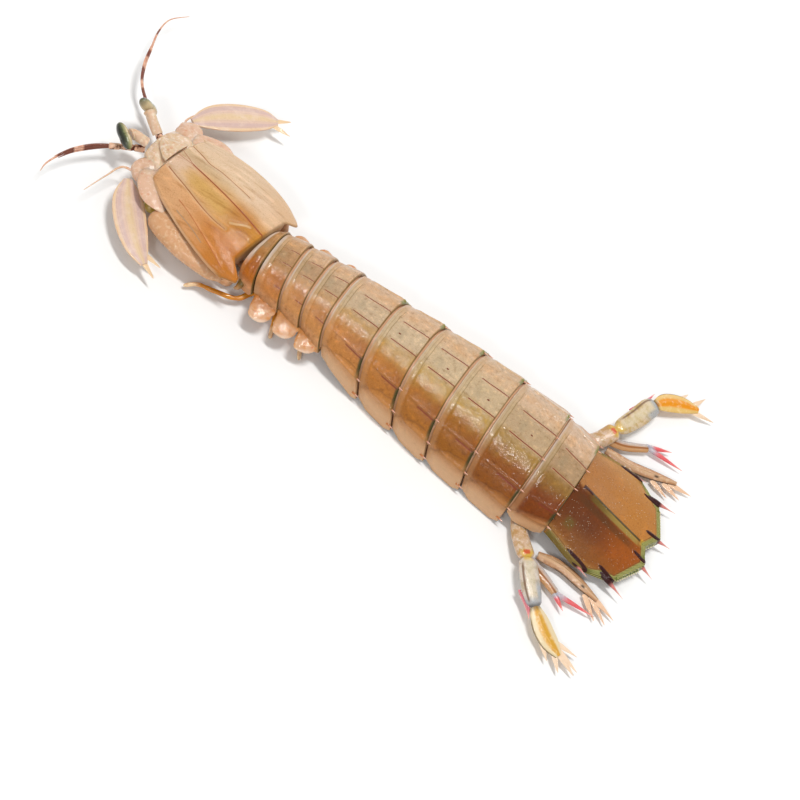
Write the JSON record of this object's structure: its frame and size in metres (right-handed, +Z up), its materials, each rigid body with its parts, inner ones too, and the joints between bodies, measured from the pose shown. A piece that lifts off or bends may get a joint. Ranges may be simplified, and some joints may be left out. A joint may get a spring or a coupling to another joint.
{
  "type": "mantis shrimp",
  "caption": "Still life-size mantis shrimp lying flat, with a ridged shell, folded claws, spread tail fan and spined tail plate.",
  "frame": {"origin": "centre of the bounding box in plan, on the floor that the animal rests on", "axes": "+X along the body towards the head, +Y to the animal's left, +Z up"},
  "size_m": [0.1782, 0.0904, 0.0156],
  "materials": {
    "shell_tan": "wet gloss",
    "shell_olive": "wet gloss",
    "shell_amber": "wet gloss",
    "head_pale": "wet gloss",
    "eye_green": "glossy",
    "scale_lilac": "satin, thin and translucent",
    "flagellum_brown": "satin",
    "claw_tan": "wet gloss",
    "leg_orange": "wet gloss",
    "pleopod_pale": "satin",
    "uropod_cream": "wet gloss",
    "uropod_yellow": "wet gloss"
  },
  "bodies": {
    "root": {"abdomen_1": "shell_tan", "abdomen_2": "shell_olive", "abdomen_3": "shell_olive", "abdomen_4": "shell_olive", "abdomen_5": "shell_olive", "abdomen_6": "shell_amber", "antenna_L": "head_pale", "antenna_R": "head_pale", "antennal_scale_L": "scale_lilac", "antennal_scale_R": "scale_lilac", "antennule_L": "flagellum_brown", "antennule_R": "flagellum_brown", "carapace": "shell_tan", "claw_carpus_L": "leg_orange", "claw_carpus_R": "leg_orange", "claw_dactyl_L": "claw_tan", "claw_dactyl_R": "claw_tan", "claw_merus_L": "claw_tan", "claw_merus_R": "claw_tan", "claw_propodus_L": "claw_tan", "claw_propodus_R": "claw_tan", "eye_L": "eye_green", "eye_R": "eye_green", "eyestalk_L": "head_pale", "eyestalk_R": "head_pale", "head_front": "head_pale", "maxillipeds_L": "head_pale", "maxillipeds_R": "head_pale", "pleopod_1_L": "pleopod_pale", "pleopod_1_R": "pleopod_pale", "pleopod_2_L": "pleopod_pale", "pleopod_2_R": "pleopod_pale", "pleopod_3_L": "pleopod_pale", "pleopod_3_R": "pleopod_pale", "pleopod_4_L": "pleopod_pale", "pleopod_4_R": "pleopod_pale", "pleopod_5_L": "pleopod_pale", "pleopod_5_R": "pleopod_pale", "rostral_plate": "head_pale", "telson": "shell_amber", "thorax_5": "shell_amber", "thorax_6": "shell_tan", "thorax_7": "shell_tan", "thorax_8": "shell_tan", "uropod_base_L": "head_pale", "uropod_base_R": "head_pale", "uropod_inner_L": "uropod_cream", "uropod_inner_R": "uropod_cream", "uropod_outer_L": "uropod_cream", "uropod_outer_R": "uropod_cream", "uropod_paddle_L": "uropod_yellow", "uropod_paddle_R": "uropod_yellow", "walking_leg_1_L": "leg_orange", "walking_leg_1_R": "leg_orange", "walking_leg_2_L": "leg_orange", "walking_leg_2_R": "leg_orange", "walking_leg_3_L": "leg_orange", "walking_leg_3_R": "leg_orange"}
  },
  "joints": []
}
